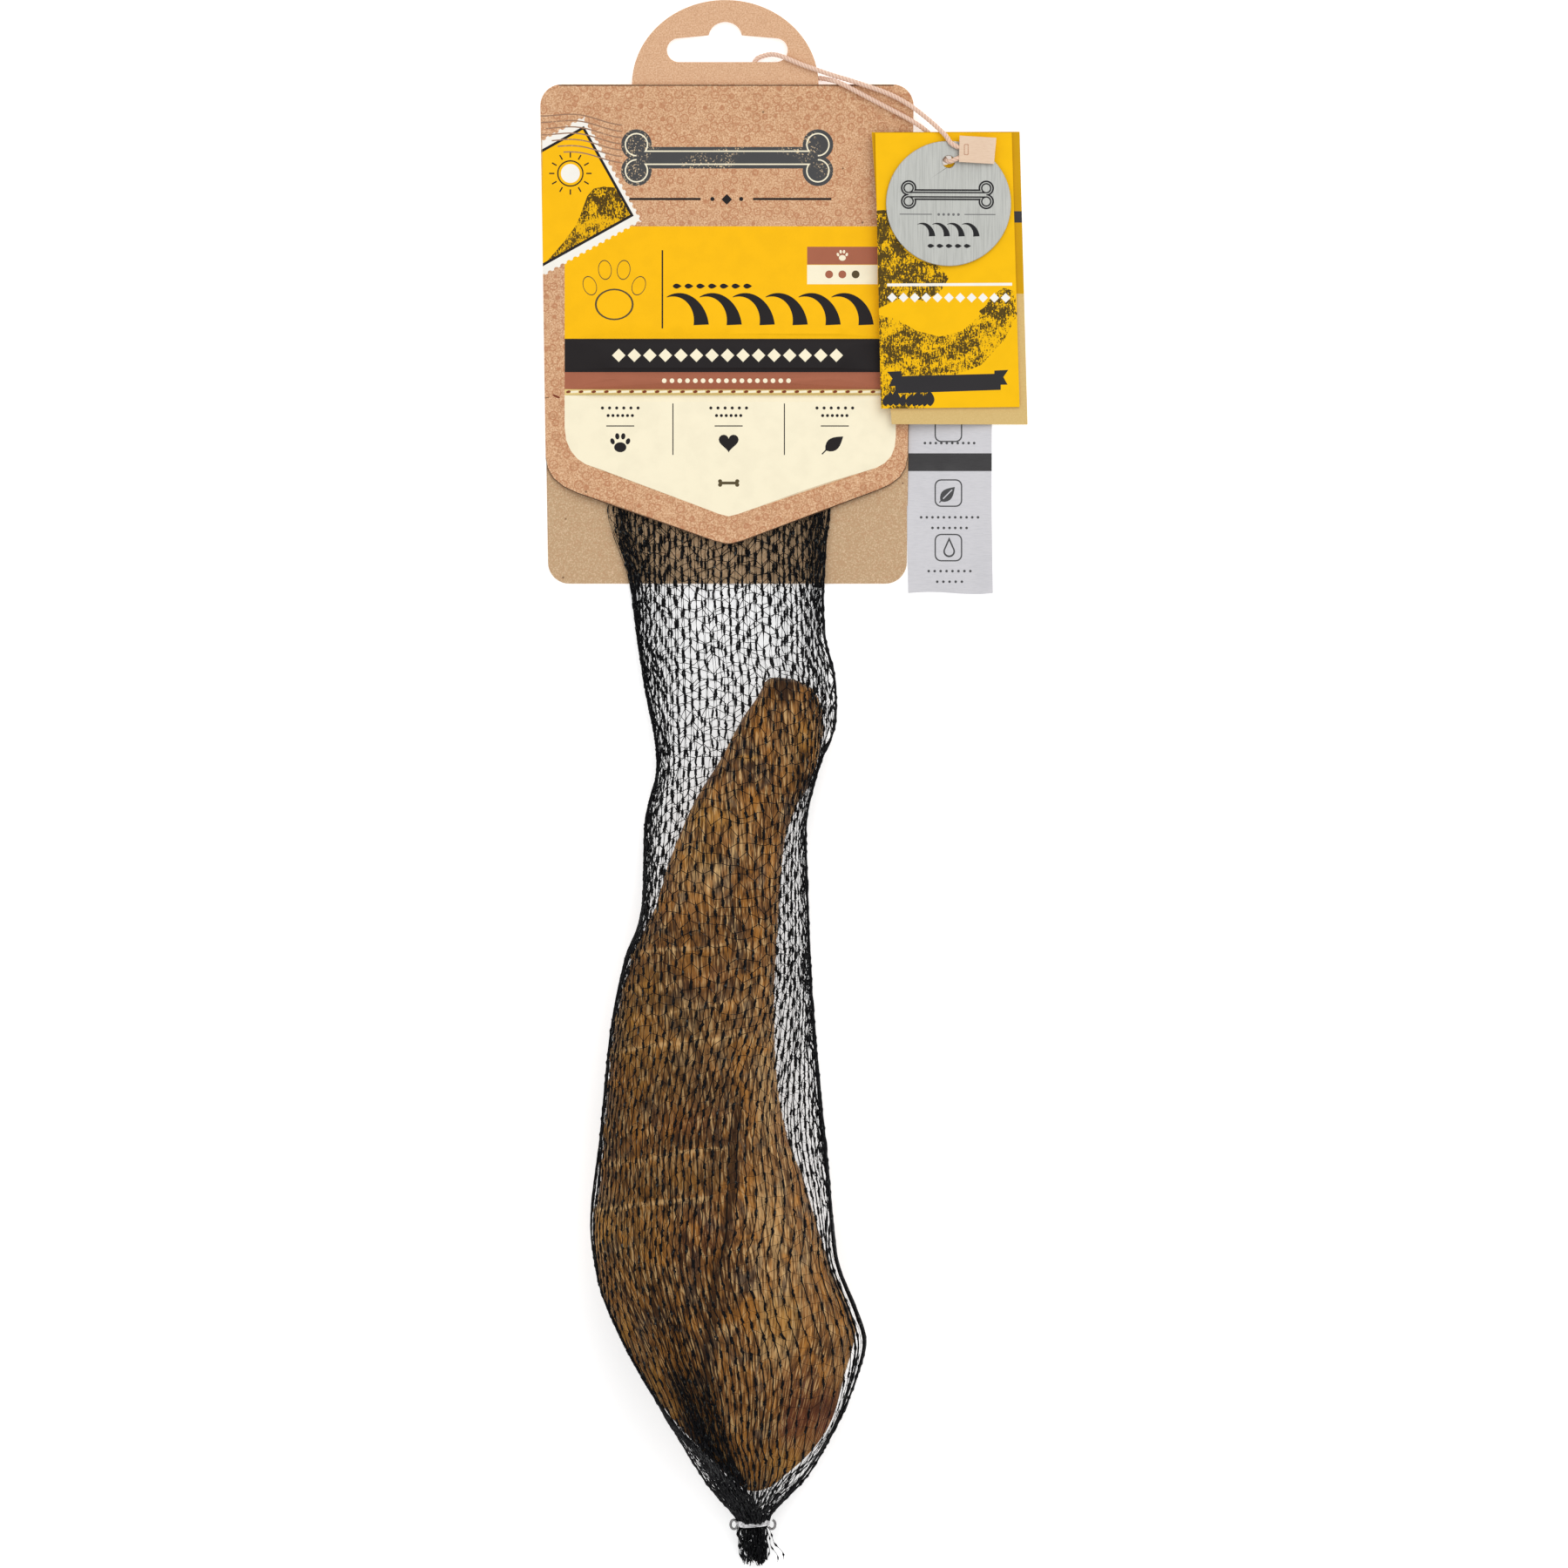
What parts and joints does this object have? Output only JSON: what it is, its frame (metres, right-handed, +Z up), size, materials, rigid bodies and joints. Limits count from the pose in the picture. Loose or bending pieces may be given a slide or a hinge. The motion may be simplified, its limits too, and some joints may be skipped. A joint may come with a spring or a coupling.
{
  "type": "goat horn dog chew",
  "caption": "Curved goat horn in a tied knitted net sleeve under a folded kraft header card with a hanging slot, swing tags, a disc, a label and a ribbon.",
  "frame": {"origin": "On the surface that the chew lies on, under the middle of its bounding box measured without the hanging cord.", "axes": "+X across the card to the side of the swing tags, +Y along the horn from the tied end to the hanging tab, +Z up, away from the surface and out of the printed face."},
  "size_m": [0.1286, 0.4138, 0.0423],
  "materials": {
    "card_back": "matt olive-tan kraft board",
    "card_front": "printed kraft board, slightly satin ink",
    "horn": "brown ringed keratin, dull with smooth polished patches",
    "net": "black knitted plastic net, soft sheen",
    "clip": "bright bent wire",
    "tag_back": "matt card, yellow above tan",
    "tag_front": "printed card, slightly satin",
    "disc": "upright brushed steel with a dark engraved drawing",
    "label": "peach satin, folded and stitched",
    "ribbon": "white satin ribbon with dark print",
    "cord": "twisted peach cotton"
  },
  "bodies": {
    "root": {"header_card_back": "card_back", "header_card_front": "card_front", "horn": "horn", "net_sleeve": "net", "tie_clip": "clip", "tag_leaf_back": "tag_back", "tag_leaf_front": "tag_front", "metal_disc": "disc", "cord_label": "label", "care_ribbon": "ribbon", "hang_cord": "cord"}
  },
  "joints": []
}
